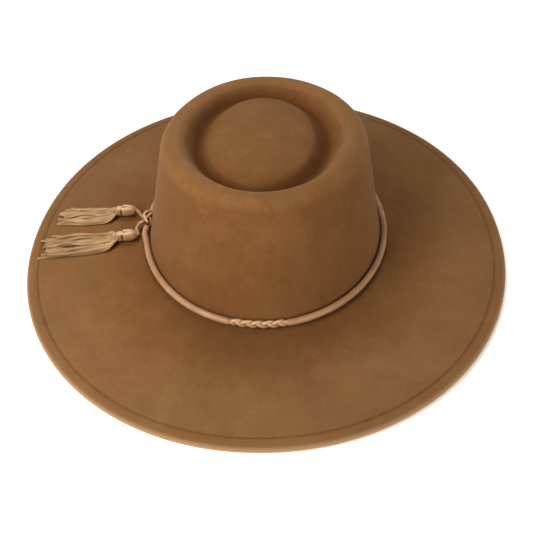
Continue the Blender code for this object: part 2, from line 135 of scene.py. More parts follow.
PLAIT_OVERRUN = 0.05  # share of its length by which it runs on into the cord at each end
PLAIT_CLOSED = 0.35  # how wide it is at its ends, as a share of its full width
PLAIT_OPENS = (-0.05, 0.07)  # shares of its length between which it widens
PLAIT_CLOSES = (0.93, 1.05)  # and between which it narrows
# Painted light of the plait: painted shade deep between its strands, painted highlight on their
# lifted and upper sides.
PLAIT_PAINTED_LIGHT = {"deep": -1.15, "lifted": 1.05, "upper": 1.25}
PLAIT_LIFTED = (0.0, 0.75)  # that painted highlight sets in over these shares of its radius, outwards
PLAIT_UPPER = (0.15, 0.85)  # and upwards
PLAIT_SAMPLES = 150
PLAIT_SIDES = 14
KNOT_LENGTH = 0.0145
KNOT_DIAMETER = 0.0078
KNOT_SHIFT = 0.004
KNOT_TURNS = 3
KNOT_BIGHTS = 4
KNOT_PHASE = 0.6
KNOT_LACE_RADIUS = 0.00128
KNOT_LACE_FLAT = 0.92
KNOT_TURN_RADIUS = 0.00245
KNOT_WEAVE = 0.00062  # how far the lace goes in and out as it passes over itself
KNOT_CORE_RADIUS = 0.0017
KNOT_CORE_OVER = 0.001  # how far the core shows past each end of the knot
# Painted shade deep in the knot and painted highlight on the lace where it stands furthest from the
# cord.
KNOT_PAINTED_LIGHT = {"deep": -1.0, "gain": 2.0, "from": 0.0026, "to": 0.0042}
KNOT_SAMPLES = 360
KNOT_SIDES = 12
KNOT_CORE_RINGS = 21
KNOT_CORE_SIDES = 14
LACE_RADIUS = 0.0013
LACE_SPACING = 0.0075
LACE_TUCK = 0.001  # how far it starts inside the knot, and ends before the head's first loop
LACE_INTO_HEAD = 0.002
LACE_BEND = 0.55  # where it bends most, as a share of its way
LACE_SAG = 0.0004
LACE_SIDES = 12
LACE_STEPS = 8
HEAD_LENGTH_ALONG = 0.0185
HEAD_DIAMETER = 0.0100
HEAD_WEAR = 1.3  # of the loops' crowns, which are rubbed pale
HEAD_WEAR_RUN = (0.40, 0.75)  # shares of the head's radius between which it sets in
HEAD_SEED = 100  # added to the tassel's seed
LOOPS = 5
LOOP_PLACE = 0.27  # middle of the loops, as a share of the head's length
LOOP_FIRST_TILT = -52
LOOP_TILT_STEP = 26
LOOP_TILT_STRAY = 5
LOOP_REACH = 0.0046
LOOP_INSET = 0.0010
LOOP_ROUNDNESS = 0.6  # exponent of its bend at the head's tip
LOOP_TURN_BACK = 3  # and of its ends, which turn to the neck
LOOP_WIDTH = {"ends": 0.78, "gain": 0.22}  # how far its sides stand apart
LOOP_RADIUS = 0.0014
LOOP_UNEVEN = 0.0001
LOOP_FLAT = 0.8
LOOP_SAMPLES = 30
LOOP_SIDES = 12
CORE_RADII = [
    0.0018, 0.0028, 0.0032, 0.0032, 0.0030, 0.0027, 0.0025,
    0.0024, 0.0024, 0.0024, 0.0025, 0.0027, 0.0028,
]
CORE_PLACE = 0.08  # where the core starts, as a share of the head's length
CORE_RUN = 0.86
CORE_SIDES = 16
NECK_PLACE = 0.56
NECK_RUN = 0.20
NECK_TURNS = 2.6
NECK_PHASE = 0.7
NECK_RADIUS = 0.0030
NECK_LACE_RADIUS = 0.0009
NECK_SAMPLES = 90
NECK_SIDES = 10
STRIP_WIDTH = 0.0030
STRIP_THICKNESS = 0.0010
STRIP_SIDES = 10
STRIP_ROUNDNESS = (0.55, 0.8)  # exponents of its section, across and through
STRIP_SAMPLES = 34
STRIP_EDGE_WEAR = 0.35  # how much darker a strip's cut edges are

# One row for each layer of a fringe: its strips, and its level above the brim.
FRINGE_LAYERS = (
    {"strips": 8, "level": 0.0},
    {"strips": 7, "level": 1.0},
    {"strips": 6, "level": 2.0},
)
FRINGE_ROOT = 0.74  # where the strips start, as a share of the head's length
FRINGE_MARGIN = 0.0015  # added to the spread for the strips' own width
STRIP_SEAT = 0.0001  # gap under the lowest strips
LAYER_PITCH = 0.82  # rise from one layer to the next, as a share of a strip's thickness
LAYER_NARROWING = 0.08  # how much narrower a layer is than the one below
LAYER_SHORTENING = 0.05  # and shorter
LAYER_PAINTED_LIGHT = 0.14  # and paler: painted light on the upper layers, painted shade on the lower ones
LAYER_STAGGER = 0.4  # of a strip's place in the round bundle, from one layer to the next
FRINGE_HEAP = 0.0009  # how much higher the middle of the fringe lies
HEAP_LOSS = 0.6  # share of the heap that is gone at the tips
STRIP_CURL = 0.0003
NECK_BUNDLE = 0.0013  # half the thickness of the bundle in the neck
NECK_WIDTH = {"start": 0.55, "gain": 0.45}  # of a strip, in shares of its full width
NECK_FADE = 0.16  # share of a strip's length over which it gains width and loses the lightening at the neck
# how much lighter the strips are at the neck
NECK_LIGHTENING = 0.45
TIP_NARROWING = 0.20
TIP_PLACE = 0.94  # where the narrowing of the tip starts
DESCENT = 0.22  # share of a strip's length over which it comes down from the neck
NECK_SPREAD = 0.22  # share of the full spread that the strips have at the neck

# The spread that they gain from there, and between which shares of their length.
SPREADING = (
    {"gain": 0.56, "from": 0.0, "to": 0.14},
    {"gain": 0.22, "from": 0.10, "to": 0.6},
)
SWING_GROWTH = 0.7  # exponent of how a strip's waves grow along it
CURL_PACE = 1.6  # its curls for each of its waves
STRIP_ROLL = 0.25
ROLL_PACE = 4.0
FOLD_PAINTED_LIGHT = 0.22  # how much painted shade and painted highlight its folds get
FOLD_PACE = 0.8  # how many more folds than waves it has

# How far a strip strays at random, to each side or between two values.
STRAY_PLACE = 0.035
STRAY_FAN = 0.10
STRAY_SPIN = 0.22
STRAY_SHADE = 0.24
SHORTER = (0.0, 0.13)
WAVES = (0.9, 1.7)
SWING = (0.0007, 0.0017)
WIDTHS = (0.80, 1.15)

# One row for each tassel. The place of its head, out and back from the knot's middle, is in
# shares of the knot's length. The way it points is in degrees from the -X axis towards -Y.
# Its fringe's length and spread are in shares of the brim's width. The bow is how far its lace
# stands out, and the tone is added to the wear and painted light of all its strips.
TASSELS = (
    {
        "name": "upper", "seed": 5, "out": 0.72, "back": 0.76, "turn": -2.4,
        "length": 0.552, "spread": 0.212, "bow": 0.004, "tone": -0.02,
    },
    {
        "name": "lower", "seed": 11, "out": 0.36, "back": -1.20, "turn": 5.4,
        "length": 0.677, "spread": 0.258, "bow": 0.0085, "tone": -0.26,
    },
)

# One row for each rounded corner of the crown, from the dome's edge to the brim: the felt's wear
# and painted light at the arc's start, middle and end, the rows to the next arc, and the value
# there.
# Above 0 the felt is lighter: brushed nap and painted highlight on the crest and its lip. Below 0
# it is darker: pressed felt and painted shade at the dome's edge, in the channel, low on the wall
# and at the crown's foot.
CROWN_WEAR_AND_PAINTED_LIGHT = (
    {"start": -0.12, "middle": -0.25, "end": -0.55, "run": 2, "next": -0.80},
    {"start": -0.80, "middle": -1.00, "end": -0.55, "run": 3, "next": -0.05},
    {"start": -0.05, "middle": 0.22, "end": 0.32, "run": 4, "next": 0.30},
    {"start": 0.30, "middle": 0.06, "end": -0.34, "run": 20, "next": -0.20},
    {"start": -0.22, "middle": -0.55, "end": -0.30, "run": 0, "next": 0.0},
)

DOME_EDGE_PAINTED_SHADE = -0.12  # painted shade, darkest at the dome's edge
CREST_FRONT_HIGHLIGHT_LOSS = 0.8  # share of the crest's brushing and painted highlight that is left out at the very front, which paints shade there
BRIM_PAINTED_LIGHT = {"start": -0.30, "gain": 0.60, "done": 0.75}  # painted shade at the crown's foot that turns to painted light towards the hem, done at that share of its width
# Painted highlight on the hem's band, which is left out in the stitch groove as painted shade.
HEM_PAINTED_LIGHT = 0.30
HEM_PAINTED_LIGHT_GAIN = 0.1  # towards the edge
# Painted highlight round the brim's edge, strongest on its outer face.
HEM_EDGE_PAINTED_HIGHLIGHT = {"start": 0.45, "gain": 1.6}
UNDER_WEAR = {"flat": 0.2, "cut": 0.4, "edge": 1.0}

# Studio
FLOOR_RADIUS = 1.7
SWEEP_RADIUS = 0.6  # of the curve by which the floor turns up into a low wall
FLOOR_GAP = 0.0002  # under the hat
FLOOR_GLOW = {"From Min": 0.5, "From Max": 1.2, "To Min": 0.40, "To Max": 0.85}
WORLD_COLOUR = (1.0, 0.985, 0.965, 1.0)
WORLD_STRENGTH = 0.04
VIEW_GAMMA = 0.8
LIGHT_COLOUR = (1.0, 0.98, 0.95)
LIGHT_TARGET = (0.0, 0.0, 0.03)
LIGHTS = (
    {"name": "key", "place": (-0.42, -0.36, 0.50), "size": 0.45, "power": 3.65},
    {"name": "fill", "place": (0.90, -0.94, 0.58), "size": 0.9, "power": 5.2},
    {"name": "back", "place": (-0.08, 0.42, 0.90), "size": 0.6, "power": 4.4},
)
CAMERA = {
    "lens": 50.0,
    "sensor": 36.0,
    "place": (0.0196, -0.4253, 0.3676),
    "target": (0.0016, -0.0343, 0.0),
    "roll": -2.02,
}

# Fineness
SWEEP_ROWS = 16
SWEEP_SECTORS = 128
SECTORS = 288
DOME_ROWS = 9
ARC_ROWS = 8
BRIM_ROWS = 26
GROOVE_ROWS = 4
HEM_ROWS = 6
EDGE_ROWS = 12
UNDER_ROWS = 3

UP = Vector((0.0, 0.0, 1.0))


def smoothstep(low, high, value):
    t = min(1.0, max(0.0, (value - low) / (high - low)))
    return t * t * (3 - 2 * t)


def oval_radius(half_width, half_length, angle, squareness=2.0):
    across = abs(math.cos(angle) / half_width) ** squareness
    along = abs(math.sin(angle) / half_length) ** squareness
    return (across + along) ** (-1 / squareness)


def on_oval(half_width, half_length, angle, z, centre=(0.0, 0.0), squareness=2.0):
    r = oval_radius(half_width, half_length, angle, squareness)
    return Vector((centre[0] + r * math.cos(angle), centre[1] + r * math.sin(angle), z))


def wall_base(angle):
    return on_oval(HEAD_WIDTH / 2 + FELT, HEAD_LENGTH / 2 + FELT, angle, BRIM_RISE + FELT)


def brim_outline(angle, inset, z):
    reach = FELT + BRIM_WIDTH
    half_width, half_length = HEAD_WIDTH / 2 + reach, HEAD_LENGTH / 2 + reach
    edge = on_oval(half_width, half_length, angle, z, squareness=BRIM_SQUARENESS)
    return edge - Vector((edge.x, edge.y, 0.0)).normalized() * inset


def brim_curve(angle, share):
    """A point of the brim's top, at a share of the way from the crown's wall to the hem."""
    inner = wall_base(angle)
    outer = brim_outline(angle, HEM_WIDTH + GROOVE_HALF, 2 * FELT)
    point = inner.lerp(outer, share)
    point.z = outer.z + (inner.z - outer.z) * max(0.0, 1 - share) ** BRIM_SWEEP
    return point


def crest_height(y):
    return BRIM_RISE + FELT + CROWN_HEIGHT - CREST_TILT * (y - TOP_SET_BACK) / TOP_LENGTH


def recess_centre():
    return TOP_LEAN, TOP_SET_BACK + (CREST_AT_FRONT - CREST_AT_BACK) / 2


def telescope_point(inset, drop, angle, share=0.0):
    half_width = TOP_WIDTH / 2 - CREST_AT_SIDES - inset - DOME_NARROWING * share
    half_length = TOP_LENGTH / 2 - (CREST_AT_FRONT + CREST_AT_BACK) / 2 - inset
    x, y = recess_centre()
    centre = (x + DOME_LEAN * share, y + DOME_SET_BACK * share)
    point = on_oval(half_width, half_length, angle, 0.0, centre)
    point.z = crest_height(point.y) - drop
    return point


def dome_top():
    x, y = recess_centre()
    x, y = x + DOME_LEAN, y + DOME_SET_BACK
    return Vector((x, y, crest_height(y) - DOME_CENTRE_DROP))


def dome_point(angle, share):
    edge = telescope_point(CHANNEL_WALL_RUN + DOME_EDGE_RUN, DOME_EDGE_DROP, angle, 1.0)
    centre = dome_top()
    point = centre.lerp(edge, share)
    point.z = centre.z + (edge.z - centre.z) * share**2
    return point


def rounded_path(corners, radii, steps):
    """Arcs of those radii at the inner corners of a path, each limited by its sides."""
    wanted = [0.0]
    for before, corner, after, radius in zip(corners, corners[1:], corners[2:], radii):
        wanted.append(radius / math.tan((before - corner).angle(after - corner) / 2))
    wanted.append(0.0)
    fits = []
    for i, (a, b) in enumerate(zip(corners, corners[1:])):
        fits.append(min(1.0, ARC_SHARE * (b - a).length / max(wanted[i] + wanted[i + 1], 1e-9)))
    arcs, centres = [], []
    for i in range(1, len(corners) - 1):
        corner = corners[i]
        to_before = (corners[i - 1] - corner).normalized()
        to_after = (corners[i + 1] - corner).normalized()
        tangent = wanted[i] * min(fits[i - 1], fits[i])
        half_angle = to_before.angle(to_after) / 2
        radius = tangent * math.tan(half_angle)
        centre = corner + (to_before + to_after).normalized() * (radius / math.sin(half_angle))
        start = (corner + to_before * tangent - centre).normalized()
        end = (corner + to_after * tangent - centre).normalized()
        arcs.append([centre + start.slerp(end, k / steps) * radius for k in range(steps + 1)])
        centres.append(centre)
    return arcs, centres


def crown_corners(angle):
    shoulder = on_oval(TOP_WIDTH / 2, TOP_LENGTH / 2, angle, 0.0, (TOP_LEAN, TOP_SET_BACK))
    shoulder.z = crest_height(shoulder.y)
    corners = [
        dome_point(angle, DOME_SHARE),
        dome_point(angle, 1.0),
        telescope_point(CHANNEL_WALL_RUN, CHANNEL_DEPTH, angle, CHANNEL_SHARE),
        telescope_point(0.0, 0.0, angle),
        shoulder,
        wall_base(angle),
        brim_curve(angle, BREAK_REACH),
    ]
    radii = [DOME_EDGE_RADIUS, CHANNEL_RADIUS, RECESS_EDGE_RADIUS, SHOULDER_RADIUS, BREAK_RADIUS]
    return corners, radii


def between(a, b, count):
    return [a.lerp(b, k / (count + 1)) for k in range(1, count + 1)]


def felt_top(angle):
    """Rows of the upper surface from the dome to the stitch groove, each with its wear and painted
    light and shade.
    """
    arcs, _ = rounded_path(*crown_corners(angle), ARC_ROWS)
    # The dome darkens towards its edge: painted shade.
    rows = [
        (dome_point(angle, DOME_SHARE * k / DOME_ROWS), DOME_EDGE_PAINTED_SHADE * (k / DOME_ROWS) ** 3)
        for k in range(1, DOME_ROWS + 1)
    ]
    # Arcs of the crown: painted shade in the hollows and painted highlight on the crest, with
    # brushed and pressed felt.
    for row, arc, following in zip(CROWN_WEAR_AND_PAINTED_LIGHT, arcs, [*arcs[1:], None]):
        for k, point in enumerate(arc):
            share = k / ARC_ROWS
            near = row["start"] if share < 0.5 else row["end"]
            blend = math.sin(math.pi * share)
            rows.append((point, near + (row["middle"] - near) * blend))
        if following:
            points = between(arc[-1], following[0], row["run"])
            gain = row["next"] - row["end"]
            for k, point in enumerate(points):
                rows.append((point, row["end"] + gain * (k + 1) / (row["run"] + 1)))
    # Less brushing and painted highlight at the crest's front: painted shade there.
    kept = 1 - CREST_FRONT_HIGHLIGHT_LOSS * max(0.0, -math.sin(angle)) ** 2
    rows = [(point, wear_and_painted_light * kept if wear_and_painted_light > 0 else wear_and_painted_light) for point, wear_and_painted_light in rows]
    inner = wall_base(angle)
    reach = (brim_curve(angle, 1.0) - inner).xy.length
    start = (arcs[-1][-1] - inner).xy.length / reach
    for k in range(1, BRIM_ROWS + 1):
        share = k / BRIM_ROWS
        # Painted shade near the crown's foot, turning to painted light towards the hem.
        brim_painted_light_value = BRIM_PAINTED_LIGHT["start"] + BRIM_PAINTED_LIGHT["gain"] * smoothstep(0.0, BRIM_PAINTED_LIGHT["done"], share)
        rows.append((brim_curve(angle, start + (1 - start) * share), brim_painted_light_value))
    return rows


def groove_dip(share):
    """Depth of the stitch groove, at a share of the way from its middle to its side."""
    return GROOVE_DEPTH * (0.5 + 0.5 * math.cos(math.pi * share))


def felt_hem(angle):
    """Rows of the hem: over the stitch groove, round the edge and back to the cut edge."""
    rows = []
    for k in range(1, 2 * GROOVE_ROWS + 1):
        s = 1 - k / GROOVE_ROWS
        dip = groove_dip(s)
        # Painted shade in the stitch groove, against the hem's painted highlight.
        wear_and_painted_light = HEM_PAINTED_LIGHT - HEM_PAINTED_LIGHT * dip / GROOVE_DEPTH
        rows.append((brim_outline(angle, HEM_WIDTH + GROOVE_HALF * s, 2 * FELT - dip), wear_and_painted_light))
    flat = HEM_WIDTH - GROOVE_HALF - FELT
    for k in range(1, HEM_ROWS):
        s = k / HEM_ROWS
        puff = HEM_PUFF * math.sin(math.pi * s)
        inset = HEM_WIDTH - GROOVE_HALF - flat * s
        rows.append((brim_outline(angle, inset, 2 * FELT + puff), HEM_PAINTED_LIGHT + HEM_PAINTED_LIGHT_GAIN * s))
    # Round the edge, with a painted highlight strongest on its outer face.
    for k in range(EDGE_ROWS + 1):
        turn = math.pi * k / EDGE_ROWS
        place = brim_outline(angle, FELT * (1 - math.sin(turn)), FELT * (1 + math.cos(turn)))
        rows.append((place, HEM_EDGE_PAINTED_HIGHLIGHT["start"] + HEM_EDGE_PAINTED_HIGHLIGHT["gain"] * math.sin(turn)))
    for k in range(1, UNDER_ROWS + 1):
        inset = FELT + flat * k / UNDER_ROWS
        rows.append((brim_outline(angle, inset, 0.0), UNDER_WEAR["flat"]))
    for k in range(1, 2 * GROOVE_ROWS):
        s = 1 - k / GROOVE_ROWS
        dip = groove_dip(s)
        # Painted shade in the groove underneath.
        rows.append((brim_outline(angle, HEM_WIDTH - GROOVE_HALF * s, dip), -dip / GROOVE_DEPTH))
    rows.append((brim_outline(angle, HEM_RAW - HEM_RAW_EDGE, 0.0), UNDER_WEAR["cut"]))
    rows.append((brim_outline(angle, HEM_RAW, HEM_RAW_RISE), UNDER_WEAR["edge"]))
    rows.append((brim_outline(angle, HEM_RAW, FELT * HEM_RAW_SHARE), 0.0))
    return rows


def felt_wobble(point):
    """How far the hand-blocked felt strays from its true shape, along its normal."""
    angle = math.atan2(point.y, point.x)
    r = math.hypot(point.x, point.y)
    inner = wall_base(angle).xy.length
    outer = brim_outline(angle, HEM_WIDTH, 0.0).xy.length
    from_break = (Vector((r, point.z)) - Vector((inner, BRIM_RISE + FELT))).length
    near, done = WOBBLE_TO_HEM
    hold = smoothstep(*WOBBLE_FROM_BREAK, from_break)
    hold *= 1 - smoothstep(outer - near, outer - done, r)
    swell = 0.0
    for row in WOBBLE:
        swell += row["depth"] * noise.noise(point * row["scale"] + Vector(row["start"]))
    return hold * swell


def surface_normals(rings):
    count = len(rings[0])
    normals = []
    for j in range(len(rings)):
        row = []
        for i in range(count):
            here = rings[j][i]
            along = Vector((0.0, 0.0, 0.0))
            if j > 0:
                along += (here - rings[j - 1][i]).normalized()
            if j < len(rings) - 1:
                along += (rings[j + 1][i] - here).normalized()
            around = rings[j][(i + 1) % count] - rings[j][i - 1]
            row.append(along.cross(around).normalized())
        normals.append(row)
    return normals


def join_rings(bm, rings, closed=False):
    """Adds the faces between each ring of vertices and the next."""
    pairs = list(zip(rings, rings[1:]))
    if closed:
        pairs.append((rings[-1], rings[0]))
    for near, far in pairs:
        for i in range(len(near)):
            k = (i + 1) % len(near)
            bm.faces.new((near[i], far[i], far[k], near[k]))


def link_mesh(name, bm, finish):
    bmesh.ops.recalc_face_normals(bm, faces=bm.faces)
    mesh = bpy.data.meshes.new(name)
    bm.to_mesh(mesh)
    bm.free()
    mesh.shade_smooth()
    mesh.materials.append(finish)
    piece = bpy.data.objects.new(name, mesh)
    bpy.context.scene.collection.objects.link(piece)
    return piece


def make_felt(finish):
    angles = [math.tau * i / SECTORS for i in range(SECTORS)]
    top_rows = list(zip(*[felt_top(a) for a in angles]))
    hem_rows = list(zip(*[felt_hem(a) for a in angles]))
    top = [[p.copy() for p, _ in row] for row in top_rows]
    normals = surface_normals(top)
    for row, row_normals in zip(top, normals):
        for p, n in zip(row, row_normals):
            p += n * felt_wobble(p)
    under = [[p - n * FELT for p, n in zip(row, ns)] for row, ns in zip(top[:-1], normals[:-1])]
    rings = [*top, *[[p for p, _ in row] for row in hem_rows], *under[::-1]]
    wear_and_painted_light = [[w for _, w in row] for row in top_rows]
    wear_and_painted_light += [[w for _, w in row] for row in hem_rows]
    wear_and_painted_light += [[0.0] * SECTORS for _ in under]
    bm = bmesh.new()
    layer = bm.verts.layers.float.new("wear_and_painted_light")
    made = []
    for ring, row_wear_and_painted_light in zip(rings, wear_and_painted_light):
        line = []
        for point, value in zip(ring, row_wear_and_painted_light):
            vert = bm.verts.new(point)
            vert[layer] = value
            line.append(vert)
        made.append(line)
    join_rings(bm, made)
    peak = dome_top()
    for ring, point in ((made[0], peak), (made[-1], peak - Vector((0.0, 0.0, FELT)))):
        tip = bm.verts.new(point)
        for i in range(SECTORS):
            bm.faces.new((tip, ring[i], ring[(i + 1) % SECTORS]))
    return link_mesh("hat_felt", bm, finish)


def make_stitches(finish):
    """Two rows of small stitches in the hem's grooves, on top and underneath."""
    bm = bmesh.new()
    turns = [math.tau * k / OUTLINE_STEPS for k in range(OUTLINE_STEPS + 1)]
    outline = [brim_outline(turn, HEM_WIDTH, 0.0) for turn in turns]
    length = sum((b - a).length for a, b in zip(outline, outline[1:]))
    count = round(length / STITCH_PITCH)
    step = length / count
    places, walked, target = [], 0.0, 0.0
    for turn, a, b in zip(turns, outline, outline[1:]):
        walked += (b - a).length
        if walked >= target and len(places) < count:
            places.append(turn)
            target += step
    rng = random.Random(STITCH_SEED)
    for side in (1, -1):
        for angle in places:
            here = brim_outline(angle, HEM_WIDTH, 0.0)
            ahead = brim_outline(angle + STITCH_AHEAD, HEM_WIDTH, 0.0)
            along = (ahead - here).normalized()
            across = Vector((-along.y, along.x, 0.0))
            along = (along + across * rng.uniform(-STITCH_SWAY, STITCH_SWAY)).normalized()
            depth = GROOVE_DEPTH * STITCH_SET
            level = 2 * FELT - depth if side == 1 else depth
            half = step * STITCH_HALF
            rings = []
            for j in range(STITCH_RINGS):
                s = j / (STITCH_RINGS - 1) * 2 - 1
                lift = side * STITCH_RISE * (1 - s * s) - side * STITCH_DIVE * s**4
                middle = here + along * half * s + Vector((0.0, 0.0, level + lift))
                r = STITCH_RADIUS * (1 - STITCH_TAPER * s**4)
                ring = []
                for m in range(STITCH_SIDES):
                    t = math.tau * m / STITCH_SIDES
                    spoke = across * math.cos(t) * r + Vector((0, 0, math.sin(t) * r))
                    ring.append(bm.verts.new(middle + spoke))
                rings.append(ring)
            join_rings(bm, rings)
            bm.faces.new(rings[0])
            bm.faces.new(rings[-1])
    return link_mesh("hem_stitches", bm, finish)


def break_centre(angle):
    return rounded_path(*crown_corners(angle), 1)[1][-1]


def band_point(angle, radius):
    centre = break_centre(angle)
    outward = Vector((math.cos(angle), math.sin(angle), 0.0))
    spare = BREAK_RADIUS - radius - CLEARANCE
    raised = (0.5 + 0.5 * math.cos(angle - CORD_RAISE_PLACE)) ** 2
    bearing = math.pi / 4 * (1 - raised) if spare > 0 else math.pi / 4
    seat = Vector((spare * math.cos(bearing), spare * math.sin(bearing)))
    away = (angle - math.pi) * HEAD_WIDTH / 2 - CORD_SLACK_PLACE
    slack = CORD_SLACK * math.exp(-((away / CORD_SLACK_RUN) ** 2))
    return centre - outward * (seat.x - slack) - Vector((0.0, 0.0, seat.y))


def angle_after(angle, distance):
    step = distance / BAND_STEPS
    turn = step / (HEAD_LENGTH / 2)
    for _ in range(BAND_STEPS):
        here = band_point(angle, CORD_RADIUS)
        ahead = band_point(angle + turn, CORD_RADIUS)
        angle += turn * abs(step) / (ahead - here).length
    return angle


def tube(bm, path, radii, sides, closed=False, flat=1.0, up=UP):
    """Adds a tube along a path, its section carried along without twisting."""
    count = len(path)
    normal = None
    rings = []
    first_tangent = None
    for i, point in enumerate(path):
        ahead = path[(i + 1) % count] if closed else path[min(i + 1, count - 1)]
        behind = path[i - 1] if closed else path[max(i - 1, 0)]
        tangent = (ahead - behind).normalized()
        if normal is None:
            normal = (up - tangent * up.dot(tangent)).normalized()
            first_tangent = tangent
        else:
            normal = (normal - tangent * normal.dot(tangent)).normalized()
        rings.append([tangent, normal.copy(), point])
    if closed:
        end = (rings[-1][1] - first_tangent * rings[-1][1].dot(first_tangent)).normalized()
        first = rings[0][1]
        twist = math.atan2(end.cross(first).dot(first_tangent), end.dot(first))
    else:
        twist = 0.0
    made = []
    for i, (tangent, normal, point) in enumerate(rings):
        normal = Quaternion(tangent, twist * i / count) @ normal
        side = tangent.cross(normal)
        radius = radii[i] if isinstance(radii, list) else radii
        ring = []
        for k in range(sides):
            t = math.tau * (k + 0.5) / sides
            beside = point + side * math.cos(t) * radius
            ring.append(bm.verts.new(beside + normal * math.sin(t) * radius * flat))
        made.append(ring)
    join_rings(bm, made, closed)
    if not closed:
        bm.faces.new(made[0])
        bm.faces.new(made[-1])


def rounded_ends(radius, count, cap):
    """Radii of a tube whose last few rings close into rounded ends."""
    radii = [radius] * count
    for k in range(cap):
        share = math.sqrt(1 - (1 - (k + 0.5) / cap) ** 2)
        radii[k] *= share
        radii[-1 - k] *= share
    return radii


def make_cord(name, start, end, finish):
    bm = bmesh.new()
    count = int(abs(end - start) * HEAD_LENGTH / 2 / CORD_STEP)
    path, radii = [], []
    for k in range(count + 1):
        angle = start + (end - start) * k / count
        point = band_point(angle, CORD_RADIUS)
        sway = noise.noise(Vector((angle * CORD_SWAY_PACE, 0.3, 0.0))) * CORD_SWAY
        path.append(point + UP * sway)
        uneven = 1 + CORD_UNEVEN * noise.noise(Vector((k * CORD_UNEVEN_PACE, 5.0, 1.0)))
        radii.append(CORD_RADIUS * uneven)
    shares = rounded_ends(1.0, count + 1, END_RINGS)
    tube(bm, path, [radius * share for radius, share in zip(radii, shares)], CORD_SIDES)
    return link_mesh(name, bm, finish)


def make_plait(start, end, finish):
    bm = bmesh.new()
    for s in range(3):
        path = []
        for k in range(PLAIT_SAMPLES + 1):
            share = -PLAIT_OVERRUN + (1 + 2 * PLAIT_OVERRUN) * k / PLAIT_SAMPLES
            angle = start + (end - start) * share
            outward = Vector((math.cos(angle), math.sin(angle), 0.0))
            across = (UP - outward).normalized()
            away = (UP + outward).normalized()
            centre = band_point(angle, PLAIT_STRAND / 2 + PLAIT_LIFT)
            turn = math.tau * (share * PLAIT_LENGTH / PLAIT_PITCH + s / 3)
            open_up = smoothstep(*PLAIT_OPENS, share) * (1 - smoothstep(*PLAIT_CLOSES, share))
            reach = PLAIT_CLOSED + (1 - PLAIT_CLOSED) * open_up
            swing = PLAIT_SWING * reach * math.sin(turn)
            lift = PLAIT_LIFT * reach * math.sin(2 * turn)
            path.append(centre + across * swing + away * lift)
        radii = rounded_ends(PLAIT_STRAND / 2 * PLAIT_FULLNESS, len(path), END_RINGS)
        tube(bm, path, radii, PLAIT_SIDES)
    # Painted shade deep in the plait and painted highlight on its lifted, upper lobes.
    layer = bm.verts.layers.float.new("wear_and_painted_light")
    full = PLAIT_STRAND / 2 + PLAIT_LIFT
    for vert in bm.verts:
        angle = math.atan2(vert.co.y, vert.co.x) % math.tau
        outward = Vector((math.cos(angle), math.sin(angle), 0.0))
        away = (UP + outward).normalized()
        arm = vert.co - band_point(angle, full)
        lifted = smoothstep(*PLAIT_LIFTED, arm.dot(away) / full)
        upper = smoothstep(*PLAIT_UPPER, arm.z / full)
        wear_and_painted_light = PLAIT_PAINTED_LIGHT["deep"] + PLAIT_PAINTED_LIGHT["lifted"] * lifted + PLAIT_PAINTED_LIGHT["upper"] * upper
        vert[layer] = wear_and_painted_light
    return link_mesh("band_plait_strands", bm, finish)


def knot_frame():
    middle = angle_after(math.pi, -KNOT_SHIFT)
    start = angle_after(middle, -KNOT_LENGTH / 2)
    end = angle_after(middle, KNOT_LENGTH / 2)
    along = (band_point(end, KNOT_DIAMETER / 2) - band_point(start, KNOT_DIAMETER / 2)).normalized()
    return band_point(middle, KNOT_DIAMETER / 2), along, start, end


def make_knot(finish):
    """A three-lead sliding knot plaited round the cord from one lace."""
    middle, along, _, _ = knot_frame()
    side = Vector((along.y, -along.x, 0.0)).normalized()
    if side.x > 0:
        side = -side
    half = KNOT_LENGTH / 2 - KNOT_LACE_RADIUS
    path = []
    for k in range(KNOT_SAMPLES):
        theta = KNOT_TURNS * math.tau * k / KNOT_SAMPLES
        wave = KNOT_BIGHTS / KNOT_TURNS * theta + KNOT_PHASE
        r = KNOT_TURN_RADIUS + KNOT_WEAVE * math.sin(2 * wave)
        around = side * math.cos(theta) + UP * math.sin(theta)
        path.append(middle + along * half * math.sin(wave) + around * r)
    bm = bmesh.new()
    tube(bm, path, KNOT_LACE_RADIUS, KNOT_SIDES, closed=True, flat=KNOT_LACE_FLAT)
    reach = KNOT_LENGTH / 2 + KNOT_CORE_OVER
    last = KNOT_CORE_RINGS - 1
    core = [middle + along * reach * (2 * k / last - 1) for k in range(KNOT_CORE_RINGS)]
    tube(bm, core, KNOT_CORE_RADIUS, KNOT_CORE_SIDES)
    # Painted shade deep in the knot, painted highlight on its outer turns.
    layer = bm.verts.layers.float.new("wear_and_painted_light")
    for vert in bm.verts:
        arm = vert.co - middle
        height = (arm - along * arm.dot(along)).length
        shown = smoothstep(KNOT_PAINTED_LIGHT["from"], KNOT_PAINTED_LIGHT["to"], height)
        vert[layer] = KNOT_PAINTED_LIGHT["deep"] + KNOT_PAINTED_LIGHT["gain"] * shown
    return link_mesh("band_sliding_knot", bm, finish)


def brim_height(x, y):
    angle = math.atan2(y, x)
    r = math.hypot(x, y)
    inner = wall_base(angle)
    outer = brim_curve(angle, 1.0)
    share = (r - inner.xy.length) / (outer.xy.length - inner.xy.length)
    if share >= 1:
        return 2 * FELT
    point = brim_curve(angle, max(share, 0.0))
    return point.z + felt_wobble(point)


def tassel_axis(row):
    middle, _, _, _ = knot_frame()
    turn = math.radians(row["turn"])
    pointing = Vector((-math.cos(turn), -math.sin(turn), 0.0))
    start = Vector((middle.x - KNOT_LENGTH * row["out"], middle.y + KNOT_LENGTH * row["back"], 0.0))
    return start, pointing


def head_centre(place):
    z = brim_height(place.x, place.y) + CLEARANCE + HEAD_DIAMETER / 2
    return Vector((place.x, place.y, z))


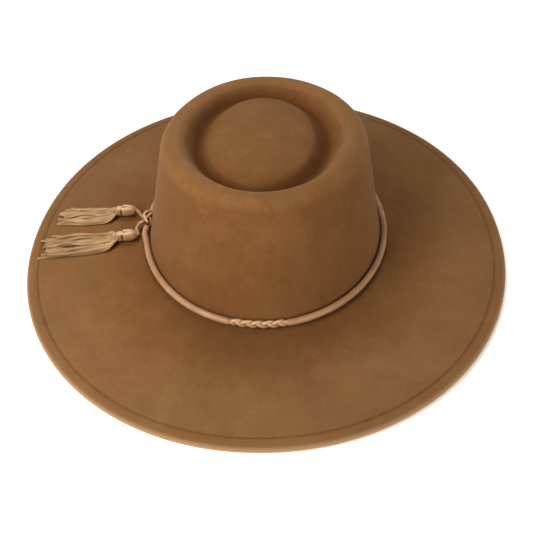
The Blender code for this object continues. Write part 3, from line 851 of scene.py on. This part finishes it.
def smooth_path(points, steps):
    path = []
    padded = [points[0] * 2 - points[1], *points, points[-1] * 2 - points[-2]]
    for a, b, c, d in zip(padded, padded[1:], padded[2:], padded[3:]):
        for k in range(steps):
            t = k / steps
            curve = 2 * b + (c - a) * t
            curve += (2 * a - 5 * b + 4 * c - d) * t**2
            curve += (3 * b - a - 3 * c + d) * t**3
            path.append(curve / 2)
    path.append(points[-1])
    return path


def make_lace(row, finish):
    middle, along, _, _ = knot_frame()
    start, pointing = tassel_axis(row)
    side = math.copysign(1.0, row["back"])
    outward = Vector((middle.x, middle.y, 0.0)).normalized()
    leave = middle - along * side * LACE_SPACING / 2
    arrive = head_centre(start)
    meet = arrive - pointing * LACE_TUCK
    points = [
        leave - outward * LACE_TUCK,
        leave + outward * (KNOT_DIAMETER / 2),
        (leave + outward * row["bow"]).lerp(meet, LACE_BEND) - UP * LACE_SAG,
        meet,
        arrive + pointing * LACE_INTO_HEAD,
    ]
    bm = bmesh.new()
    tube(bm, smooth_path(points, LACE_STEPS), LACE_RADIUS, LACE_SIDES)
    return link_mesh(f"tassel_lace_{row['name']}", bm, finish)


def ribbon(bm, path, widths, thickness, rolls, strip_wear_and_painted_light):
    """Adds a soft-edged flat strip along a path, with a value of wear and painted light at each of
    its points.
    """
    layer = bm.verts.layers.float["wear_and_painted_light"]
    section = []
    for k in range(STRIP_SIDES):
        t = math.tau * (k + 0.5) / STRIP_SIDES
        c, s = math.cos(t), math.sin(t)
        x, y = abs(c) ** STRIP_ROUNDNESS[0], abs(s) ** STRIP_ROUNDNESS[1]
        section.append((math.copysign(x, c), math.copysign(y, s)))
    made = []
    count = len(path)
    for i, point in enumerate(path):
        tangent = (path[min(i + 1, count - 1)] - path[max(i - 1, 0)]).normalized()
        side = Quaternion(tangent, rolls[i]) @ tangent.cross(UP).normalized()
        top = side.cross(tangent)
        ring = []
        for x, y in section:
            vert = bm.verts.new(point + side * x * widths[i] / 2 + top * y * thickness / 2)
            vert[layer] = strip_wear_and_painted_light[i] - STRIP_EDGE_WEAR * abs(x) ** 3
            ring.append(vert)
        made.append(ring)
    join_rings(bm, made)
    bm.faces.new(made[0])
    bm.faces.new(made[-1])


def make_fringe(row, finish):
    """The strips of a tassel, gathered at the neck and fanned out over the brim."""
    start, pointing = tassel_axis(row)
    aside = Vector((-pointing.y, pointing.x, 0.0))
    rng = random.Random(row["seed"])
    bm = bmesh.new()
    bm.verts.layers.float.new("wear_and_painted_light")
    length = BRIM_WIDTH * row["length"]
    spread = BRIM_WIDTH * row["spread"]
    root = start + pointing * HEAD_LENGTH_ALONG * FRINGE_ROOT
    for layer in FRINGE_LAYERS:
        count, level = layer["strips"], layer["level"]
        for k in range(count):
            place = (k + 0.5) / count - 0.5
            place += rng.uniform(-STRAY_PLACE, STRAY_PLACE)
            place *= 1.0 - LAYER_NARROWING * level
            run = length * (1 - LAYER_SHORTENING * level - rng.uniform(*SHORTER))
            fan = rng.uniform(-STRAY_FAN, STRAY_FAN)
            phase = rng.uniform(0, math.tau)
            waves = rng.uniform(*WAVES)
            swing = rng.uniform(*SWING)
            width = STRIP_WIDTH * rng.uniform(*WIDTHS)
            spin = rng.uniform(-STRAY_SPIN, STRAY_SPIN)
            # Random tone, plus painted shade on the lower layers and painted light on the upper
            # ones.
            shade = rng.uniform(-STRAY_SHADE, STRAY_SHADE) + LAYER_PAINTED_LIGHT * level + row["tone"]
            turn_in = math.tau * (k + LAYER_STAGGER * level) / count
            path, widths, rolls, strip_wear_and_painted_light = [], [], [], []
            for j in range(STRIP_SAMPLES + 1):
                s = j / STRIP_SAMPLES
                down = smoothstep(0.0, DESCENT, s)
                # Where it lies across the tassel: drawn together at the neck, then waving.
                open_out = NECK_SPREAD
                for stage in SPREADING:
                    open_out += stage["gain"] * smoothstep(stage["from"], stage["to"], s)
                offset = (place * open_out + fan * s * s) * (spread + FRINGE_MARGIN)
                offset += swing * s**SWING_GROWTH * math.sin(phase + math.tau * waves * s)
                middle = root + pointing * run * s + aside * offset
                # How high it lies: in its layer on the brim, heaped in the middle.
                rest = brim_height(middle.x, middle.y) + STRIP_SEAT + STRIP_THICKNESS / 2
                rest += level * STRIP_THICKNESS * LAYER_PITCH
                rest += FRINGE_HEAP * (1 - 4 * place * place) * (1 - HEAP_LOSS * s) * down
                curl = math.sin(phase * 2 + math.tau * waves * CURL_PACE * s)
                rest += STRIP_CURL * (1 + curl) * s
                bundle = head_centre(middle).z + NECK_BUNDLE * math.sin(turn_in)
                z = bundle + (rest - bundle) * down
                path.append(Vector((middle.x, middle.y, max(z, rest))))
                out_of_neck = smoothstep(0.0, NECK_FADE, s)
                taper = NECK_WIDTH["start"] + NECK_WIDTH["gain"] * out_of_neck
                tip = TIP_NARROWING * smoothstep(TIP_PLACE, 1.0, s)
                widths.append(width * taper * (1 - tip))
                rolls.append(spin + STRIP_ROLL * math.sin(phase + ROLL_PACE * s))
                # Painted shade and painted highlight along the folds.
                fold = FOLD_PAINTED_LIGHT * math.sin(phase * 3 + math.tau * (waves + FOLD_PACE) * s)
                strip_wear_and_painted_light.append(shade + fold + NECK_LIGHTENING * (1 - out_of_neck))
            ribbon(bm, path, widths, STRIP_THICKNESS, rolls, strip_wear_and_painted_light)
    return link_mesh(f"tassel_fringe_{row['name']}", bm, finish)


def make_head(row, finish):
    """A tassel's head: the folded top of the bundle and the lace wound round its neck."""
    start, pointing = tassel_axis(row)
    aside = Vector((-pointing.y, pointing.x, 0.0))
    rng = random.Random(row["seed"] + HEAD_SEED)
    bm = bmesh.new()
    # The folded top: loops of strip that pass over each other.
    blob = head_centre(start + pointing * HEAD_LENGTH_ALONG * LOOP_PLACE)
    reach = HEAD_DIAMETER / 2
    for k in range(LOOPS):
        tilt = LOOP_FIRST_TILT + LOOP_TILT_STEP * k
        tilt = math.radians(tilt + rng.uniform(-LOOP_TILT_STRAY, LOOP_TILT_STRAY))
        out = aside * math.cos(tilt) + UP * math.sin(tilt)
        path = []
        for j in range(LOOP_SAMPLES + 1):
            t = math.pi * (j / LOOP_SAMPLES) - math.pi / 2
            along = -pointing * max(0.0, math.cos(t)) ** LOOP_ROUNDNESS * LOOP_REACH
            along += pointing * LOOP_REACH * (math.sin(abs(t)) ** LOOP_TURN_BACK)
            apart = LOOP_WIDTH["ends"] + LOOP_WIDTH["gain"] * math.cos(t)
            beside = out * math.sin(t) * (reach - LOOP_INSET) * apart
            path.append(blob + beside + along)
        radius = LOOP_RADIUS + LOOP_UNEVEN * rng.uniform(-1, 1)
        tube(bm, path, radius, LOOP_SIDES, up=pointing, flat=LOOP_FLAT)
    core = []
    for j in range(len(CORE_RADII)):
        s = j / (len(CORE_RADII) - 1)
        place = start + pointing * HEAD_LENGTH_ALONG * (CORE_PLACE + CORE_RUN * s)
        core.append(head_centre(place))
    tube(bm, core, CORE_RADII, CORE_SIDES)
    # The neck: turns of lace.
    helix = []
    for j in range(NECK_SAMPLES):
        s = j / (NECK_SAMPLES - 1)
        place = start + pointing * HEAD_LENGTH_ALONG * (NECK_PLACE + NECK_RUN * s)
        turn = math.tau * NECK_TURNS * s + NECK_PHASE
        spoke = aside * math.cos(turn) + UP * math.sin(turn)
        helix.append(head_centre(place) + spoke * NECK_RADIUS)
    radii = rounded_ends(NECK_LACE_RADIUS, NECK_SAMPLES, END_RINGS)
    tube(bm, helix, radii, NECK_SIDES, up=pointing)
    layer = bm.verts.layers.float.new("wear_and_painted_light")
    for vert in bm.verts:
        depth = (vert.co - head_centre(vert.co)).length / reach
        vert[layer] = HEAD_WEAR * smoothstep(*HEAD_WEAR_RUN, depth)
    return link_mesh(f"tassel_head_{row['name']}", bm, finish)


class Recipe:
    """A node material in the making."""

    def __init__(self, name):
        self.material = bpy.data.materials.new(name)
        self.material.use_nodes = True
        self.tree = self.material.node_tree
        self.shader = self.tree.nodes["Principled BSDF"]
        self.place = self.node("ShaderNodeTexCoord").outputs["Object"]

    def node(self, kind, **inputs):
        made = self.tree.nodes.new(kind)
        for key, value in inputs.items():
            socket = made.inputs[key.replace("_", " ")]
            self.feed(socket, value)
        return made

    def feed(self, socket, value):
        if isinstance(value, bpy.types.NodeSocket):
            self.tree.links.new(value, socket)
        else:
            socket.default_value = value

    def noise(self, scale, detail=2.0, roughness=0.5, distortion=0.0):
        made = self.node("ShaderNodeTexNoise", Vector=self.place, Scale=scale, Detail=detail)
        made.inputs["Roughness"].default_value = roughness
        made.inputs["Distortion"].default_value = distortion
        return made.outputs["Fac"]

    def voronoi(self, scale):
        made = self.node("ShaderNodeTexVoronoi", Vector=self.place, Scale=scale)
        return made.outputs["Distance"]

    def math(self, operation, a, b=0.0, clamp=False):
        made = self.tree.nodes.new("ShaderNodeMath")
        made.operation = operation
        made.use_clamp = clamp
        self.feed(made.inputs[0], a)
        self.feed(made.inputs[1], b)
        return made.outputs[0]

    def ramp(self, factor, stops):
        made = self.node("ShaderNodeValToRGB", Fac=factor)
        elements = made.color_ramp.elements
        for k, (position, colour) in enumerate(stops):
            element = elements[k] if k < 2 else elements.new(position)
            element.position = position
            element.color = (*colour, 1.0)
        return made.outputs["Color"]

    def mix(self, factor, colour, other):
        made = self.tree.nodes.new("ShaderNodeMix")
        made.data_type = "RGBA"
        self.feed(made.inputs[0], factor)
        self.feed(made.inputs[6], colour)
        self.feed(made.inputs[7], (*other, 1.0))
        return made.outputs[2]

    def bump(self, height, strength, distance, normal=None):
        made = self.node("ShaderNodeBump", Height=height, Strength=strength, Distance=distance)
        if normal is not None:
            self.tree.links.new(normal, made.inputs["Normal"])
        return made.outputs["Normal"]

    # The attribute holds real wear and tone together with painted highlight and painted shade.
    def wear_and_painted_light(self):
        made = self.tree.nodes.new("ShaderNodeAttribute")
        made.attribute_name = "wear_and_painted_light"
        return made.outputs["Fac"]

    def mix_wear_and_painted_light(self, colour, light_share, light, dark_share, dark):
        """Lightens the colour where the value of wear and painted light is above 0, and darkens it
        where it is below, so it paints highlight and shade as well as wear and tone.
        """
        lighter = self.math("MULTIPLY", self.wear_and_painted_light(), light_share, clamp=True)
        colour = self.mix(lighter, colour, light)
        darker = self.math("MULTIPLY", self.wear_and_painted_light(), -dark_share, clamp=True)
        return self.mix(darker, colour, dark)

    def finish(self, colour, normal=None, **settings):
        self.tree.links.new(colour, self.shader.inputs["Base Color"])
        if normal is not None:
            self.tree.links.new(normal, self.shader.inputs["Normal"])
        for key, value in settings.items():
            self.feed(self.shader.inputs[key.replace("_", " ")], value)
        return self.material


def felt_material():
    r = Recipe("felt_camel")
    blotch = r.noise(20, 2.0, 0.5)
    cloud = r.noise(95, 3.0, 0.55, 0.3)
    nap = r.noise(520, 3.0, 0.65, 0.6)
    fibre = r.noise(1900, 2.0, 0.7, 1.5)
    tone = r.math("MULTIPLY", blotch, 0.30)
    for layer, share in ((cloud, 0.26), (nap, 0.26), (fibre, 0.18)):
        tone = r.math("ADD", tone, r.math("MULTIPLY", layer, share))
    colour = r.ramp(tone, [
        (0.30, (0.214, 0.103, 0.034)),
        (0.70, (0.345, 0.191, 0.082)),
        (0.50, (0.275, 0.139, 0.052)),
    ])
    # The light colour paints brushed nap and painted highlight on the crest, hem and lip; the dark
    # colour paints pressed felt and painted shade in the channel, grooves and at the crown's foot.
    colour = r.mix_wear_and_painted_light(colour, 0.40, (0.52, 0.350, 0.205), 0.70, (0.130, 0.042, 0.004))
    normal = r.bump(cloud, 0.25, 0.0005)
    normal = r.bump(nap, 0.35, 0.00025, normal)
    normal = r.bump(fibre, 0.30, 0.00010, normal)
    return r.finish(
        colour,
        normal,
        Roughness=0.88,
        Specular_IOR_Level=0.12,
        Sheen_Weight=0.20,
        Sheen_Roughness=0.5,
        Sheen_Tint=(1.0, 0.80, 0.56, 1.0),
    )


def thread_material():
    r = Recipe("thread_tan")
    tone = r.noise(2600, 2.0, 0.6)
    colour = r.ramp(tone, [(0.35, (0.26, 0.125, 0.042)), (0.65, (0.36, 0.190, 0.075))])
    normal = r.bump(tone, 0.4, 0.0001)
    return r.finish(colour, normal, Roughness=0.75, Sheen_Weight=0.2, Specular_IOR_Level=0.3)


def leather_material():
    r = Recipe("leather_tan")
    patch = r.noise(60, 3.0, 0.5)
    grain = r.voronoi(1500)
    pores = r.noise(2400, 2.0, 0.6)
    colour = r.ramp(patch, [(0.30, (0.47, 0.272, 0.138)), (0.70, (0.64, 0.410, 0.236))])
    speck = r.math("MULTIPLY", pores, 0.35)
    colour = r.mix(speck, colour, (0.40, 0.215, 0.100))
    # The light colour is painted highlight on the plait's and knot's outer lobes, and the dark
    # colour painted shade in their crevices.
    colour = r.mix_wear_and_painted_light(colour, 0.6, (0.86, 0.61, 0.39), 0.75, (0.10, 0.040, 0.012))
    normal = r.bump(grain, 0.35, 0.00012)
    normal = r.bump(pores, 0.25, 0.00008, normal)
    rough = r.math("ADD", 0.36, r.math("MULTIPLY", pores, 0.14))
    return r.finish(colour, normal, Roughness=rough, Specular_IOR_Level=0.5)


def suede_material():
    r = Recipe("suede_tan")
    patch = r.noise(75, 3.0, 0.55)
    nap = r.noise(1300, 3.0, 0.7, 0.8)
    tone = r.math("ADD", r.math("MULTIPLY", patch, 0.55), r.math("MULTIPLY", nap, 0.45))
    colour = r.ramp(tone, [(0.34, (0.378, 0.232, 0.114)), (0.66, (0.572, 0.390, 0.216))])
    # The light colour paints the heads' paler loops and painted light on the upper layers and
    # folds; the dark colour darker cut edges, random tone, and painted shade on the lower layers
    # and folds.
    colour = r.mix_wear_and_painted_light(colour, 0.70, (0.80, 0.61, 0.42), 0.60, (0.15, 0.070, 0.020))
    normal = r.bump(nap, 0.5, 0.00018)
    return r.finish(
        colour,
        normal,
        Roughness=0.9,
        Specular_IOR_Level=0.2,
        Sheen_Weight=0.45,
        Sheen_Roughness=0.45,
        Sheen_Tint=(1.0, 0.88, 0.72, 1.0),
    )


def floor_material():
    r = Recipe("floor_white")
    tone = r.noise(3, 1.0)
    colour = r.ramp(tone, [(0.3, (0.90, 0.90, 0.90)), (0.7, (0.92, 0.92, 0.92))])
    # Away from the lamps the floor glows more, so that it stays white up to the horizon.
    length = r.tree.nodes.new("ShaderNodeVectorMath")
    length.operation = "LENGTH"
    r.tree.links.new(r.place, length.inputs[0])
    glow = r.node("ShaderNodeMapRange", Value=length.outputs["Value"])
    for key, value in FLOOR_GLOW.items():
        glow.inputs[key].default_value = value
    return r.finish(
        colour,
        Roughness=0.9,
        Specular_IOR_Level=0.1,
        Emission_Color=(1.0, 1.0, 1.0, 1.0),
        Emission_Strength=glow.outputs["Result"],
    )


def add_light(row):
    data = bpy.data.lights.new(row["name"], "AREA")
    data.shape = "DISK"
    data.size = row["size"]
    data.energy = row["power"]
    data.color = LIGHT_COLOUR
    lamp = bpy.data.objects.new(row["name"], data)
    lamp.location = row["place"]
    aim = Vector(LIGHT_TARGET) - Vector(row["place"])
    lamp.rotation_euler = aim.to_track_quat("-Z", "Y").to_euler()
    bpy.context.scene.collection.objects.link(lamp)


def make_stage():
    bm = bmesh.new()
    rings = []
    for k in range(SWEEP_ROWS + 1):
        turn = math.pi / 2 * k / SWEEP_ROWS
        radius = FLOOR_RADIUS + SWEEP_RADIUS * math.sin(turn)
        z = SWEEP_RADIUS * (1 - math.cos(turn)) - FLOOR_GAP
        ring = []
        for i in range(SWEEP_SECTORS):
            angle = math.tau * i / SWEEP_SECTORS
            ring.append(bm.verts.new((radius * math.cos(angle), radius * math.sin(angle), z)))
        rings.append(ring)
    bm.faces.new(rings[0])
    join_rings(bm, rings)
    link_mesh("studio_floor", bm, floor_material())

    world = bpy.data.worlds.new("studio")
    world.use_nodes = True
    background = world.node_tree.nodes["Background"]
    background.inputs["Color"].default_value = WORLD_COLOUR
    background.inputs["Strength"].default_value = WORLD_STRENGTH
    bpy.context.scene.world = world
    for row in LIGHTS:
        add_light(row)

    camera_data = bpy.data.cameras.new("photo_camera")
    camera_data.lens = CAMERA["lens"]
    camera_data.sensor_width = CAMERA["sensor"]
    camera = bpy.data.objects.new("photo_camera", camera_data)
    camera.location = CAMERA["place"]
    aim = (Vector(CAMERA["target"]) - camera.location).to_track_quat("-Z", "Y")
    roll = Quaternion((0.0, 0.0, 1.0), math.radians(CAMERA["roll"]))
    camera.rotation_euler = (aim @ roll).to_euler()
    bpy.context.scene.collection.objects.link(camera)
    bpy.context.scene.camera = camera
    bpy.context.scene.view_settings.view_transform = "Standard"
    bpy.context.scene.view_settings.gamma = VIEW_GAMMA


def stand_for(piece, slot, *nodes):
    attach(piece, "root")
    if nodes:
        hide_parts(*nodes)


make_stage()
felt = felt_material()
leather = leather_material()
suede = suede_material()
thread = thread_material()

stand_for(make_felt(felt), "felt", "felt_body")
stand_for(make_stitches(thread), "felt")

front = 3 * math.pi / 2
plait_middle = angle_after(front, PLAIT_SHIFT)
plait_start = angle_after(plait_middle, -PLAIT_LENGTH / 2)
plait_end = angle_after(plait_middle, PLAIT_LENGTH / 2)
_, _, knot_start, knot_end = knot_frame()
front_run = make_cord("band_front_run", knot_end, plait_start, leather)
back_run = make_cord("band_back_run", plait_end, knot_start + math.tau, leather)
stand_for(front_run, "cord_leather", "band_cord_front")
stand_for(back_run, "cord_leather", "band_cord_back")
stand_for(make_plait(plait_start, plait_end, leather), "cord_leather", "band_plait")
stand_for(make_knot(leather), "cord_leather", "band_knot")
for row in TASSELS:
    stand_for(make_lace(row, leather), "cord_leather", f"lace_{row['name']}")
    stand_for(make_fringe(row, suede), "tassel_suede", f"tassel_{row['name']}")
    stand_for(make_head(row, suede), "tassel_suede", f"tassel_{row['name']}")
